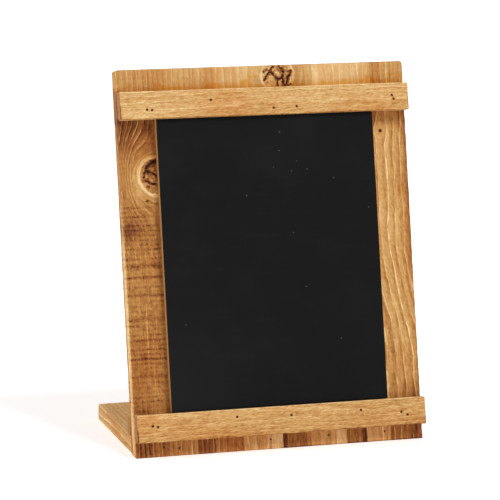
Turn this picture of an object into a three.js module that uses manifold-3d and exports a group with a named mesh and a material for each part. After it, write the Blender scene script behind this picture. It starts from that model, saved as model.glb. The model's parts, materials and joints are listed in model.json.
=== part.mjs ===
// A free-standing table-top chalkboard stand in rough-sawn, stained pine.
// A leaning back board carries a thin painted chalkboard panel between two nailed rails.
// A foot plank behind the board stops it falling back, and a cleat braces the inside corner.
// Units are millimetres, +Z up. The front looks towards -Y and +X is the viewer's right.
import * as THREE from "three";
import { mergeVertices } from "three/addons/utils/BufferGeometryUtils.js";
import Module from "manifold-3d";

const wasm = await Module();
wasm.setup();

// Driving dimensions
const WIDTH = 288; // board, rails, foot and cleat are all cut to this length
const STOCK = 16.5; // thickness of the back board and of the foot
const BOARD_LENGTH = 368; // measured up the slope
const LEAN = THREE.MathUtils.degToRad(12); // of the board, backwards from upright
const FOOT_REACH = 154.5; // from the board's bottom front edge to the back of the foot
const RAIL = { height: 26.5, thickness: 12 };
const BOTTOM_MARGIN = 14.5; // bare board under the bottom rail
const RAIL_SPACING = 278.5; // clear height between the rails
const PANEL = { width: 216, thickness: 7.7, sideways: -0.6 };
const CLEAT = { depth: 12, height: 16.5 };
const GAP = 0.3; // glue line left between pieces that touch

// Softened edges: the radius seen on the flat outline, and the small arris round the faces
const SAWN = { corner: 3, arris: 1.6 };
const PLANED = { corner: 1.2, arris: 0.8 };
const SHEET = { corner: 0.8, arris: 0.3 };
const EDGE_STEPS = { corner: 4, arris: 3 }; // flats that each rounded edge is made of

const BRAD = { shank: 0.6, head: 0.75, headHeight: 1, point: 2.5, sunk: 1.2 };
const RAIL_BRAD_LENGTH = 25;
const FOOT_BRAD_LENGTH = 30;
const SCREW = { shank: 1.6, head: 3.4, headHeight: 2, point: 4, sunk: 0.6 };
const RECESS = { arm: 1.9, width: 0.6, depth: 1.1 }; // the cross in a screw's head
const SIDES = { brad: 8, hole: 14, screw: 20 }; // flats round each turned shape
const FOOT_SCREW_LENGTH = 28;
const BOARD_SCREW_LENGTH = 25;

// Brads are shot by hand, in no exact pattern: [across from the centre, up from the rail's lower edge]
const TOP_RAIL_BRADS = [[-118, 9], [-113, 8.5], [-55, 16], [7, 6.5], [30, 7], [127, 14.5], [128.5, 11]];
const BOTTOM_RAIL_BRADS = [[-129, 15.5], [-124, 14.5], [-46, 19], [8, 17], [78, 17.5], [119, 13], [125, 10]];
// [across from the centre, height above the table]
const FOOT_BRADS = [[-116.5, 8.8], [-101, 7], [-10.5, 9], [48, 9], [105, 9]];
const FOOT_SCREWS = [-110, 0, 110]; // up through the foot into the cleat
const BOARD_SCREWS = [-60, 60]; // through the cleat into the back board

// Colours, roughness and metalness
const FINISH = {
  sawnPine: { color: 0xb98350, roughness: 0.72, metalness: 0 },
  planedPine: { color: 0xcf9f66, roughness: 0.55, metalness: 0 },
  chalkPaint: { color: 0x212121, roughness: 0.9, metalness: 0 },
  bradSteel: { color: 0x5a4a3c, roughness: 0.5, metalness: 0.9 },
  screwSteel: { color: 0xc9b27a, roughness: 0.35, metalness: 0.95 },
};

// Worked-out places
const BIG = 4 * WIDTH; // a cutter larger than the whole stand
const OUTSIDE = 1; // how far a countersink's cutter starts outside the wood
const boardFoot = STOCK / Math.cos(LEAN); // the board's thickness, measured along the table
const bottomRailBase = BOTTOM_MARGIN;
const topRailBase = BOTTOM_MARGIN + RAIL.height + RAIL_SPACING;
const railFront = -(GAP + RAIL.thickness);
const slopeAt = (z) => z * Math.tan(LEAN); // how far back the board has leant at a height
const cleatBase = STOCK + GAP;
const cleatBack = boardFoot + slopeAt(cleatBase) + GAP + CLEAT.depth;
// The bottom rail's rounded lower edge reaches furthest forward.
const frontmost = railFront * Math.cos(LEAN) + bottomRailBase * Math.sin(LEAN)
  + PLANED.arris * (Math.cos(LEAN) + Math.sin(LEAN) - 1);

// ---- Solids and geometries

function solidOf(geometry) {
  const bare = new THREE.BufferGeometry().setAttribute("position", geometry.getAttribute("position"));
  if (geometry.index) bare.setIndex(geometry.index);
  const merged = mergeVertices(bare, 1e-4);
  return new wasm.Manifold(
    new wasm.Mesh({
      numProp: 3,
      vertProperties: new Float32Array(merged.getAttribute("position").array),
      triVerts: new Uint32Array(merged.index.array),
    }),
  );
}

function geometryOf(solid) {
  const mesh = solid.getMesh();
  const indexed = new THREE.BufferGeometry();
  indexed.setAttribute("position", new THREE.BufferAttribute(new Float32Array(mesh.vertProperties), 3));
  indexed.setIndex(new THREE.BufferAttribute(new Uint32Array(mesh.triVerts), 1));
  const faceted = indexed.toNonIndexed();
  faceted.computeVertexNormals();
  return faceted;
}

// Takes every cutter away from a geometry.
function cut(geometry, cutters) {
  return geometryOf(cutters.reduce((left, cutter) => left.subtract(solidOf(cutter)), solidOf(geometry)));
}

// ---- Shapes

function roundedRectangle(width, height, radius) {
  const x = width / 2;
  const y = height / 2;
  const shape = new THREE.Shape();
  shape.moveTo(-x + radius, -y);
  shape.lineTo(x - radius, -y);
  shape.quadraticCurveTo(x, -y, x, -y + radius);
  shape.lineTo(x, y - radius);
  shape.quadraticCurveTo(x, y, x - radius, y);
  shape.lineTo(-x + radius, y);
  shape.quadraticCurveTo(-x, y, -x, y - radius);
  shape.lineTo(-x, -y + radius);
  shape.quadraticCurveTo(-x, -y, -x + radius, -y);
  return shape;
}

// A flat slab centred on the origin, its outline in X and Y and its thickness along Z.
function slab(width, height, thickness, edge) {
  const geometry = new THREE.ExtrudeGeometry(roundedRectangle(width, height, edge.corner + edge.arris), {
    depth: thickness - 2 * edge.arris,
    curveSegments: EDGE_STEPS.corner,
    bevelEnabled: true,
    bevelThickness: edge.arris,
    bevelSize: edge.arris,
    bevelOffset: -edge.arris,
    bevelSegments: EDGE_STEPS.arris,
  });
  return geometry.translate(0, 0, edge.arris - thickness / 2);
}

// The same slab stood up: outline in X and Z, thickness along Y, lower edge at Z = 0, front at Y = 0.
function uprightSlab(width, height, thickness, edge) {
  return slab(width, height, thickness, edge)
    .rotateX(Math.PI / 2)
    .translate(0, thickness / 2, height / 2);
}

// A turned piece along +Z from Z = 0, from a list of [radius, height] points.
function turned(points, segments) {
  const outline = points.map(([radius, height]) => new THREE.Vector2(radius, height));
  return new THREE.LatheGeometry(outline, segments).rotateX(Math.PI / 2);
}

// A round hole along the Z axis between two heights.
function drilled(radius, from, to) {
  return turned([[0, from], [radius, from], [radius, to], [0, to]], SIDES.hole);
}

// A half-space as a very large block: everything with y below the given plane, in the leaning frame.
function aheadOfBoard(plane) {
  return new THREE.BoxGeometry(BIG, BIG, BIG).translate(0, plane - BIG / 2, 0).rotateX(-LEAN);
}

// Everything under the table top, in the leaning frame.
function belowTable() {
  return new THREE.BoxGeometry(BIG, BIG, BIG).translate(0, 0, -BIG / 2).rotateX(LEAN);
}

// ---- Pieces

function piece(name, geometry, finish) {
  const mesh = new THREE.Mesh(geometry, new THREE.MeshStandardMaterial(finish));
  mesh.name = name;
  return mesh;
}

// A brad along +Z with its head at Z = 0, and the hole that clears it.
function bradGeometry(length) {
  const { shank, head, headHeight, point } = BRAD;
  return turned([[0, 0], [head, 0], [head, headHeight], [shank, headHeight],
    [shank, length - point], [0, length]], SIDES.brad);
}

function bradHole(length) {
  return drilled(BRAD.head + GAP, -2 * BRAD.sunk, length + GAP);
}

// A countersunk wood screw along +Z with the flat of its head at Z = 0.
function screwGeometry(length) {
  const { shank, head, headHeight, point } = SCREW;
  const body = turned([[0, 0], [head, 0], [shank, headHeight], [shank, length - point], [0, length]],
    SIDES.screw);
  const bar = new THREE.BoxGeometry(2 * RECESS.arm, RECESS.width, 2 * RECESS.depth);
  return cut(body, [bar, bar.clone().rotateZ(Math.PI / 2)]);
}

// The countersink and the clearance hole for that screw, opening at Z = -sunk.
function screwHole(length) {
  const { shank, head, headHeight, sunk } = SCREW;
  const top = -sunk - OUTSIDE;
  const bottom = length + 2 * GAP;
  return turned([[0, top], [head + GAP, top], [head + GAP, 0], [shank + GAP, headHeight],
    [shank + GAP, bottom], [0, bottom]], SIDES.screw);
}

// Turns a geometry made along +Z to run along +Y, and moves it to its place.
const alongY = (geometry, x, y, z) => geometry.rotateX(-Math.PI / 2).translate(x, y, z);
// The same for a geometry that runs along -Y, as seen from behind.
const alongMinusY = (geometry, x, y, z) => geometry.rotateX(Math.PI / 2).translate(x, y, z);

// Every fastener: its name, and how its own shape and its hole are placed in a given frame.
const railBrads = [
  ["top_rail", topRailBase, TOP_RAIL_BRADS],
  ["bottom_rail", bottomRailBase, BOTTOM_RAIL_BRADS],
].flatMap(([rail, base, places]) =>
  places.map(([across, up], i) => ({
    name: `${rail}_brad_${i + 1}`,
    rail,
    place: (geometry) => alongY(geometry, across, railFront + BRAD.sunk, base + up),
  })),
);

// These run level, from the bare strip under the bottom rail through the board into the foot.
const footBrads = FOOT_BRADS.map(([across, height], i) => ({
  name: `foot_brad_${i + 1}`,
  place: (geometry) => alongY(geometry, across, slopeAt(height) + BRAD.sunk, height),
}));

const footScrews = FOOT_SCREWS.map((across, i) => ({
  name: `foot_screw_${i + 1}`,
  place: (geometry) => geometry.translate(across, cleatBack - CLEAT.depth / 2, SCREW.sunk),
}));

const boardScrews = BOARD_SCREWS.map((across, i) => ({
  name: `cleat_screw_${i + 1}`,
  place: (geometry) => alongMinusY(geometry, across, cleatBack - SCREW.sunk, cleatBase + CLEAT.height / 2),
}));

// Holes made in the level frame are turned into the leaning frame of the board.
const intoLean = (geometry) => geometry.rotateX(LEAN);

function backBoard() {
  const holes = [
    ...railBrads.map(({ place }) => place(bradHole(RAIL_BRAD_LENGTH))),
    ...footBrads.map(({ place }) => intoLean(place(bradHole(FOOT_BRAD_LENGTH)))),
    ...boardScrews.map(({ place }) => intoLean(place(screwHole(BOARD_SCREW_LENGTH)))),
  ];
  // The blank starts below the table so that the slanting bottom cut leaves it whole.
  const spare = 2 * STOCK * Math.tan(LEAN) + SAWN.corner + SAWN.arris;
  const blank = uprightSlab(WIDTH, BOARD_LENGTH + spare, STOCK, SAWN).translate(0, 0, -spare);
  return piece("back_board", cut(blank, [belowTable(), ...holes]), FINISH.sawnPine);
}

function rail(name, base) {
  const holes = railBrads
    .filter((brad) => brad.rail === name)
    .map(({ place }) => place(bradHole(RAIL_BRAD_LENGTH)));
  const blank = uprightSlab(WIDTH, RAIL.height, RAIL.thickness, PLANED).translate(0, railFront, base);
  return piece(name, cut(blank, holes), FINISH.planedPine);
}

function chalkboardPanel() {
  const height = RAIL_SPACING - 2 * GAP;
  const base = bottomRailBase + RAIL.height + GAP;
  const geometry = uprightSlab(PANEL.width, height, PANEL.thickness, SHEET)
    .translate(PANEL.sideways, -(GAP + PANEL.thickness), base);
  return piece("chalkboard_panel", geometry, FINISH.chalkPaint);
}

function foot() {
  const depth = FOOT_REACH + STOCK; // the front part is cut away where the board stands
  const blank = slab(WIDTH, depth, STOCK, SAWN).translate(0, FOOT_REACH - depth / 2, STOCK / 2);
  const holes = [
    ...footBrads.map(({ place }) => place(bradHole(FOOT_BRAD_LENGTH))),
    ...footScrews.map(({ place }) => place(screwHole(FOOT_SCREW_LENGTH))),
  ];
  return piece("foot", cut(blank, [aheadOfBoard(STOCK + GAP), ...holes]), FINISH.sawnPine);
}

function cleat() {
  const depth = CLEAT.depth + STOCK; // as the foot, its front is planed to the board's lean
  const blank = slab(WIDTH, depth, CLEAT.height, PLANED)
    .translate(0, cleatBack - depth / 2, cleatBase + CLEAT.height / 2);
  const holes = [
    ...footScrews.map(({ place }) => place(screwHole(FOOT_SCREW_LENGTH))),
    ...boardScrews.map(({ place }) => place(screwHole(BOARD_SCREW_LENGTH))),
  ];
  return piece("cleat", cut(blank, [aheadOfBoard(STOCK + GAP), ...holes]), FINISH.planedPine);
}

function fasteners(list, geometryFor, length, finish) {
  return list.map(({ name, place }) => piece(name, place(geometryFor(length)), finish));
}

// ---- The stand: what leans, and what lies level on the table

const leaning = new THREE.Group();
leaning.rotation.x = -LEAN;
leaning.add(
  backBoard(),
  rail("top_rail", topRailBase),
  rail("bottom_rail", bottomRailBase),
  chalkboardPanel(),
  ...fasteners(railBrads, bradGeometry, RAIL_BRAD_LENGTH, FINISH.bradSteel),
);

const level = new THREE.Group();
level.add(
  foot(),
  cleat(),
  ...fasteners(footBrads, bradGeometry, FOOT_BRAD_LENGTH, FINISH.bradSteel),
  ...fasteners(footScrews, screwGeometry, FOOT_SCREW_LENGTH, FINISH.screwSteel),
  ...fasteners(boardScrews, screwGeometry, BOARD_SCREW_LENGTH, FINISH.screwSteel),
);

// The origin is on the table, in the middle of the stand's width and depth.
const stand = new THREE.Group();
stand.add(leaning, level);
stand.position.y = -(frontmost + FOOT_REACH) / 2;

export default stand;
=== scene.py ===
"""A free-standing tabletop chalkboard stand in rough-sawn, stained pine.

A wide leaning board carries a black chalkboard panel between two nailed rails. A foot plank stands
behind it, and a cleat is screwed into the inside corner. Sizes are in millimetres where a name says
nothing else, and finished meshes are in metres.
"""

import functools
import json
import logging
import math
from collections.abc import Callable, Iterable, Sequence
from dataclasses import dataclass, field
from enum import Enum

import bmesh
import bpy
from mathutils import Matrix, Vector, noise


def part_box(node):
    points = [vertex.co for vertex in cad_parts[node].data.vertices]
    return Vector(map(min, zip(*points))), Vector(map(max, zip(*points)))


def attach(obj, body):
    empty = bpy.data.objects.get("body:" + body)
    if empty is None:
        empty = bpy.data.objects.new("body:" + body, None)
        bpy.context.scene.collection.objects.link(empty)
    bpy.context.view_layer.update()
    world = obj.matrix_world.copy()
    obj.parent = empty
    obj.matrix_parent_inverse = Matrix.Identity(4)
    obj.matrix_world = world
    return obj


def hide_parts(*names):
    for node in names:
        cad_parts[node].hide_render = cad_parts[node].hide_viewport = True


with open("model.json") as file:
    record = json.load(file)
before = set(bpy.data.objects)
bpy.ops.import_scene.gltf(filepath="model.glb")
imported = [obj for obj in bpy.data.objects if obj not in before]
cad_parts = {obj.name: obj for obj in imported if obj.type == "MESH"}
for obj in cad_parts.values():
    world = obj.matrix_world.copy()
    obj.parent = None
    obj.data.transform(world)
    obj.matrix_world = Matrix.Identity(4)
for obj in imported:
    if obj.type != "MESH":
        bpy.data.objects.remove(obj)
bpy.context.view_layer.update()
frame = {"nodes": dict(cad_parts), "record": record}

LOG = logging.getLogger("chalkboard_stand")
MM = 0.001
WHOLE_BODY = "root"
CRACK = "crack"  # the vertex attribute that carries how near a crack is, from 0 to 1
SMALLEST_GAP = 0.001  # points of a bored piece that are closer than this are made one
ROUNDING_STEPS = 3

Colour = tuple[float, float, float, float]


def srgb(red: float, green: float, blue: float) -> Colour:
    """Turns a display colour into a linear one.

    Args:
        red: Red from 0 to 255.
        green: Green from 0 to 255.
        blue: Blue from 0 to 255.

    Returns:
        The linear colour with an alpha of 1.
    """
    def linear(part: float) -> float:
        """Undoes the display curve for one channel."""
        share = part / 255
        return share / 12.92 if share <= 0.04045 else ((share + 0.055) / 1.055) ** 2.4

    return linear(red), linear(green), linear(blue), 1.0


# ---- Node trees ----------------------------------------------------------------------------------


class Wire:
    """A value on its way through a node tree. Arithmetic on it adds Math nodes."""

    def __init__(self, graph: "Graph", socket: bpy.types.NodeSocket) -> None:
        """Holds an output socket of a graph's node."""
        self.graph = graph
        self.socket = socket

    def __add__(self, other: "Value") -> "Wire":
        """Adds a wire or a number."""
        return self.graph.math("ADD", self, other)

    def __radd__(self, other: float) -> "Wire":
        """Adds this wire to a number."""
        return self.graph.math("ADD", other, self)

    def __sub__(self, other: "Value") -> "Wire":
        """Takes away a wire or a number."""
        return self.graph.math("SUBTRACT", self, other)

    def __rsub__(self, other: float) -> "Wire":
        """Takes this wire away from a number."""
        return self.graph.math("SUBTRACT", other, self)

    def __mul__(self, other: "Value") -> "Wire":
        """Multiplies by a wire or a number."""
        return self.graph.math("MULTIPLY", self, other)

    def __rmul__(self, other: float) -> "Wire":
        """Multiplies a number by this wire."""
        return self.graph.math("MULTIPLY", other, self)

    def __truediv__(self, other: "Value") -> "Wire":
        """Divides by a wire or a number."""
        return self.graph.math("DIVIDE", self, other)


Value = Wire | float


class Graph:
    """Adds nodes to one node tree, and gives back the wires that leave them."""

    def __init__(self, tree: bpy.types.NodeTree) -> None:
        """Takes the node tree to build in."""
        self.tree = tree

    def node(self, kind: str, **settings: object) -> bpy.types.Node:
        """Adds a node.

        Args:
            kind: The node's type, without the words ShaderNode.
            **settings: Properties to set on the node.

        Returns:
            The new node.
        """
        made = self.tree.nodes.new("ShaderNode" + kind)
        for name, setting in settings.items():
            setattr(made, name, setting)
        return made

    def feed(self, socket: bpy.types.NodeSocket, value: object) -> None:
        """Links a wire to an input socket, or sets a plain value on it.

        Args:
            socket: The input socket.
            value: The wire or the plain value.
        """
        if isinstance(value, Wire):
            self.tree.links.new(value.socket, socket)
        else:
            socket.default_value = value

    def wired(self, kind: str, values: Sequence[object], inputs: Sequence[int | str] = range(5),
              output: int | str = 0, **settings: object) -> Wire:
        """Adds a node, feeds its inputs and gives back one of its outputs.

        Args:
            kind: The node's type, without the words ShaderNode.
            values: The wires or plain values to feed.
            inputs: Which input each value goes to.
            output: Which output to give back.
            **settings: Properties to set on the node.

        Returns:
            The output.
        """
        made = self.node(kind, **settings)
        for place, value in zip(inputs, values):
            self.feed(made.inputs[place], value)
        return Wire(self, made.outputs[output])

    def math(self, operation: str, *values: Value) -> Wire:
        """Does one operation of a Math node on one to three values."""
        return self.wired("Math", values, operation=operation)

    def vector_math(self, operation: str, *values: object) -> Wire:
        """Does one operation of a Vector Math node whose result is a vector."""
        return self.wired("VectorMath", values, operation=operation)

    def split(self, vector: Wire) -> tuple[Wire, Wire, Wire]:
        """Takes a vector apart into its three parts."""
        first = self.wired("SeparateXYZ", (vector,))
        return tuple(Wire(self, output) for output in first.socket.node.outputs)

    def join(self, x: Value, y: Value, z: Value) -> Wire:
        """Puts three values together as a vector."""
        return self.wired("CombineXYZ", (x, y, z))

    def step(self, value: Value, start: float, end: float) -> Wire:
        """Rises smoothly from 0 at start to 1 at end, or falls where start is the larger.

        Args:
            value: The value to measure.
            start: Where the result is 0.
            end: Where the result is 1.

        Returns:
            The smooth mask.
        """
        ends = (start, end, 0.0, 1.0) if start <= end else (end, start, 1.0, 0.0)
        return self.wired("MapRange", (value, *ends), interpolation_type="SMOOTHSTEP")

    def near(self, value: Value, middle: float, reach: float) -> Wire:
        """Is 1 where a value is at the middle, and falls smoothly to 0 at a reach from it."""
        return self.step(self.math("ABSOLUTE", value - middle), reach, 0.0)

    def noise(self, vector: Wire, size: float, stretch: Sequence[float] = (1, 1, 1),
              detail: float = 2.0, offset: float = 0.0, roughness: float = 0.5) -> Wire:
        """Adds a noise pattern.

        Args:
            vector: The place, in millimetres.
            size: How large the pattern's lumps are, in millimetres.
            stretch: How many times longer the lumps are along each axis.
            detail: How many finer layers are added.
            offset: Where in the endless pattern to look, so that two patterns differ.
            roughness: How strong the finer layers are.

        Returns:
            The pattern, around 0.5.
        """
        scale = tuple(1 / (size * part) for part in stretch)
        place = self.vector_math("MULTIPLY_ADD", vector, scale, (offset,) * 3)
        return self.wired("TexNoise", (place, 1.0, detail, roughness),
                          ("Vector", "Scale", "Detail", "Roughness"))

    def ramp(self, value: Wire, stops: Sequence[tuple[float, Colour]], sharp: bool = False) -> Wire:
        """Looks a value up on a colour ramp.

        Args:
            value: The place on the ramp, from 0 to 1.
            stops: Each stop's place and colour, in order.
            sharp: Whether the colour stays the same from one stop to the next.

        Returns:
            The colour.
        """
        made = self.node("ValToRGB")
        band = made.color_ramp
        band.interpolation = "CONSTANT" if sharp else "LINEAR"
        while len(band.elements) < len(stops):
            band.elements.new(1.0)
        for element, (place, colour) in zip(band.elements, stops):
            element.position = place
            element.color = colour
        self.feed(made.inputs[0], value)
        return Wire(self, made.outputs[0])

    def blend(self, share: Value, first: object, second: object, way: str = "MIX") -> Wire:
        """Mixes two colours: share 0 gives the first, and 1 the second."""
        return self.wired("Mix", (share, first, second), (0, 6, 7), output=2, data_type="RGBA",
                          blend_type=way)

    def between(self, share: Value, first: Value, second: Value) -> Wire:
        """Mixes two numbers: share 0 gives the first, and 1 the second."""
        return self.wired("Mix", (share, first, second), (0, 2, 3), data_type="FLOAT")

    def fold(self, operation: str, values: Sequence[Value]) -> Value:
        """Takes several values together, one after the other, with one operation."""
        return functools.reduce(lambda one, other: self.math(operation, one, other), values)

    def largest(self, *values: Value) -> Value:
        """Gives the largest of several values."""
        return self.fold("MAXIMUM", values)

    def smallest(self, *values: Value) -> Value:
        """Gives the smallest of several values."""
        return self.fold("MINIMUM", values)

    def product(self, *values: Value) -> Value:
        """Multiplies several values together."""
        return self.fold("MULTIPLY", values)

    def distance(self, vector: Wire, centre: Sequence[float]) -> Wire:
        """Measures how far a place is from a centre."""
        return self.wired("VectorMath", (vector, centre), output="Value", operation="DISTANCE")

    def scatter(self, number: Wire) -> Wire:
        """Gives each whole number its own value from 0 to 1."""
        return self.wired("TexWhiteNoise", (number,), ("W",), noise_dimensions="1D")

    def use(self, effect: "Effect", **inputs: object) -> dict[str, Wire]:
        """Places an effect's node group.

        Args:
            effect: The effect to place.
            **inputs: A value for each named input, with _ for a space.

        Returns:
            The group's outputs by name.
        """
        made = self.node("Group", node_tree=effect.tree())
        for name, value in inputs.items():
            self.feed(made.inputs[name.replace("_", " ").capitalize()], value)
        return {output.name: Wire(self, output) for output in made.outputs}


@dataclass
class Effect:
    """A surface effect that several finishes share, as one node group that is built once."""

    name: str
    inputs: dict[str, object]
    outputs: Sequence[str]
    wiring: Callable[[Graph, dict[str, Wire]], dict[str, Wire]]
    built: bpy.types.NodeTree | None = None

    def tree(self) -> bpy.types.NodeTree:
        """Builds the node group the first time that it is asked for.

        Returns:
            The node group.
        """
        if self.built is None:
            tree = bpy.data.node_groups.new(self.name, "ShaderNodeTree")
            for name, default in self.inputs.items():
                kind = "NodeSocketFloat" if isinstance(default, float) else "NodeSocketVector"
                tree.interface.new_socket(name, in_out="INPUT", socket_type=kind).default_value = default
            for name in self.outputs:
                kind = "NodeSocketVector" if name == "Vector" else "NodeSocketFloat"
                tree.interface.new_socket(name, in_out="OUTPUT", socket_type=kind)
            graph = Graph(tree)
            entry = tree.nodes.new("NodeGroupInput")
            leaving = tree.nodes.new("NodeGroupOutput")
            made = self.wiring(graph, {s.name: Wire(graph, s) for s in entry.outputs if s.name})
            for name in self.outputs:
                graph.feed(leaving.inputs[name], made[name])
            self.built = tree
        return self.built


def wire_knot(g: Graph, given: dict[str, Wire]) -> dict[str, Wire]:
    """Pushes the grain aside round a knot, as water flows round a post.

    Args:
        g: The group's graph.
        given: The place, the knot's centre and radius, and how far round it the grain is disturbed.

    Returns:
        The moved place, and masks for the knot's heart, its rim and its rings.
    """
    radius, place = given["Radius"], given["Vector"]
    offset = g.vector_math("SUBTRACT", place, given["Centre"])
    x, _, z = g.split(offset)
    bumpy_x, bumpy_z = (part + (g.noise(place, 8.0, offset=start) - 0.5) * radius * 0.3
                        for part, start in ((x, 3.1), (z, 8.7)))
    away = g.math("SQRT", bumpy_x * bumpy_x + bumpy_z * bumpy_z * 0.86)
    share = away / radius
    bend = radius * given["Flow"]
    round_it = x - x * bend * bend / g.largest(away * away, bend * bend)
    fan_up = g.step(g.math("ABSOLUTE", z) / radius, 3.4, 0.6)
    fan_out = g.step(g.math("ABSOLUTE", x) / radius, 2.4, 0.9)
    round_it = round_it * (1.0 - fan_up * fan_out * 0.9)
    close = g.largest(bend - away, 0.0) * 1.3
    left, through, up = g.split(place)
    bark = g.step(g.noise(place, 14.0, offset=2.9), 0.25, 0.55) * g.step(radius, 3.0, 8.0)
    return {
        "Vector": g.join(left - x + round_it + close, through, up),
        "Heart": g.step(share, 1.04, 0.94),
        "Rim": g.step(share, 0.94, 1.02) * g.step(share, 1.22, 1.08) * bark,
        "Rings": g.math("SINE", share * 26.0 + g.noise(offset, 4.0) * 6.0) * 0.5 + 0.5,
    }


def wire_figure(g: Graph, given: dict[str, Wire]) -> dict[str, Wire]:
    """Draws growth rings round a far-off heart, with the fibres that run along the grain.

    Args:
        g: The group's graph.
        given: The place with the grain along Z, the heart's place, and the rings' width and wander.

    Returns:
        The pale line at each ring, the dark band beside it, each ring's own tone, the fine fibres,
        the long streaks and the short flecks.
    """
    place = given["Vector"]
    wander = g.noise(place, 46.0, stretch=(1, 1, 5), detail=1.0) - 0.5
    ripple = g.noise(place, 7.0, stretch=(1, 1, 5), offset=4.0) - 0.5
    x, y, z = g.split(g.vector_math("SUBTRACT", place, given["Heart"]))
    reach = g.math("SQRT", x * x + y * y)
    phase = (reach - x * given["Skew"] + wander * given["Wander"] + ripple * 3.4) / given["Width"]
    part = g.math("FRACT", phase)
    ring = g.math("FLOOR", phase)
    strength = g.scatter(ring + 57.3) * 0.6 + 0.4
    broken = g.step(g.noise(place, 2.2, stretch=(1, 1, 5), detail=3.0, offset=6.0), 0.36, 0.6)
    slanted = g.vector_math("ADD", place, g.join(z * 0.16, 0.0, 0.0))
    return {
        "Line": g.product(g.step(part, 0.76, 0.86), g.step(part, 1.0, 0.94), strength, broken),
        "Band": g.step(part, 0.1, 0.72) * g.step(part, 0.84, 0.72) * (broken * 0.6 + 0.4),
        "Tone": g.scatter(ring),
        "Fibre": g.noise(place, 0.8, stretch=(1, 1, 11), detail=3.0, offset=1.7, roughness=0.62),
        "Streak": g.noise(place, 3.0, stretch=(1, 1, 12), detail=3.0, offset=9.2, roughness=0.6),
        "Fleck": g.noise(slanted, 1.2, stretch=(1, 1, 3), detail=3.0, offset=5.2, roughness=0.75),
    }


def wire_saw(g: Graph, given: dict[str, Wire]) -> dict[str, Wire]:
    """Draws the rows of torn fibre that a band saw's teeth leave across the grain.

    Args:
        g: The group's graph.
        given: The place with the grain along Z, and the rows' pitch.

    Returns:
        The dark dashes in each row, and the ridges' height.
    """
    place = given["Vector"]
    x, _, z = g.split(place)
    level = (z + x * 0.015 + (g.noise(place, 30.0, offset=5.0) - 0.5) * 5.0) / given["Pitch"]
    strength = g.scatter(g.math("FLOOR", level) + 11.7)
    line = g.near(g.math("FRACT", level), 0.5, 0.44)
    patch = g.step(g.noise(place, 26.0, stretch=(1, 1, 1.4), offset=2.2), 0.4, 0.62) * 0.6 + 0.4
    torn = g.noise(place, 1.5, stretch=(1.5, 1.5, 1), detail=3.0, offset=7.7, roughness=0.65)
    tooth = g.math("FRACT", (x + strength * 9.0 + g.noise(place, 5.0) * 7.0) / 2.7)
    dash = g.step(torn, 0.44, 0.6) * 0.65 + g.near(tooth, 0.5, 0.46) * 0.35
    return {
        "Dash": g.product(line, dash, strength * strength * 0.7 + 0.4, patch),
        "Ridge": line * patch,
    }


def wire_edges(g: Graph, given: dict[str, Wire]) -> dict[str, Wire]:
    """Finds the arrises and the ends of a squared piece.

    Args:
        g: The group's graph.
        given: The place from the piece's middle, half of its size, and how wide the arris mask reaches.

    Returns:
        Masks for the arrises and for the two ends across the grain.
    """
    inside = g.vector_math("SUBTRACT", given["Half"], g.vector_math("ABSOLUTE", given["Vector"]))
    x, y, z = g.split(inside)
    second = g.largest(g.smallest(x, y), g.smallest(g.largest(x, y), z))
    rough = g.noise(given["Vector"], 5.0, detail=3.0) * 1.3 + 0.35
    return {
        "Arris": 1.0 - g.smallest(second / (given["Width"] * rough), 1.0),
        "End": g.step(z, 1.0, 0.25),
    }


KNOT = Effect("Knot", {"Vector": (0, 0, 0), "Centre": (0, 0, 0), "Radius": 10.0, "Flow": 1.5},
              ("Vector", "Heart", "Rim", "Rings"), wire_knot)
FIGURE = Effect("Grain figure", {"Vector": (0, 0, 0), "Heart": (0, 0, 0), "Width": 6.0, "Wander": 8.0,
                                 "Skew": 0.0},
                ("Line", "Band", "Tone", "Fibre", "Streak", "Fleck"), wire_figure)
SAW = Effect("Saw marks", {"Vector": (0, 0, 0), "Pitch": 5.0}, ("Dash", "Ridge"), wire_saw)
# The arris mask places a painted highlight and painted shade; the end mask darkens the end grain.
EDGES = Effect("Edge wear", {"Vector": (0, 0, 0), "Half": (1, 1, 1), "Width": 2.0}, ("Arris", "End"),
               wire_edges)


def new_material(name: str) -> tuple[bpy.types.Material, Graph, bpy.types.Node]:
    """Starts a material.

    Args:
        name: The material's name.

    Returns:
        The material, its graph and its shader.
    """
    material = bpy.data.materials.new(name)
    material.use_nodes = True
    shader = material.node_tree.nodes["Principled BSDF"]
    return material, Graph(material.node_tree), shader


def bumped(g: Graph, shader: bpy.types.Node, height: Wire, depth: float, strength: float = 1.0) -> None:
    """Raises a material's surface.

    Args:
        g: The material's graph.
        shader: The shader that takes the surface.
        height: The height, from 0 to 1.
        depth: How far 1 stands above 0, in millimetres.
        strength: How strongly it shows.
    """
    bump = g.node("Bump")
    bump.inputs["Strength"].default_value = strength
    bump.inputs["Distance"].default_value = depth * MM
    g.feed(bump.inputs["Height"], height)
    g.feed(shader.inputs["Normal"], Wire(g, bump.outputs[0]))


# ---- Places --------------------------------------------------------------------------------------


class Grain(Enum):
    """Which way the grain runs, as the across, depth and along axes in a piece's own setting."""

    UPRIGHT = ((1, 0, 0), (0, 1, 0), (0, 0, 1))
    SIDEWAYS = ((0, 0, -1), (0, 1, 0), (1, 0, 0))
    BACKWARDS = ((1, 0, 0), (0, 0, -1), (0, 1, 0))


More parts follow.
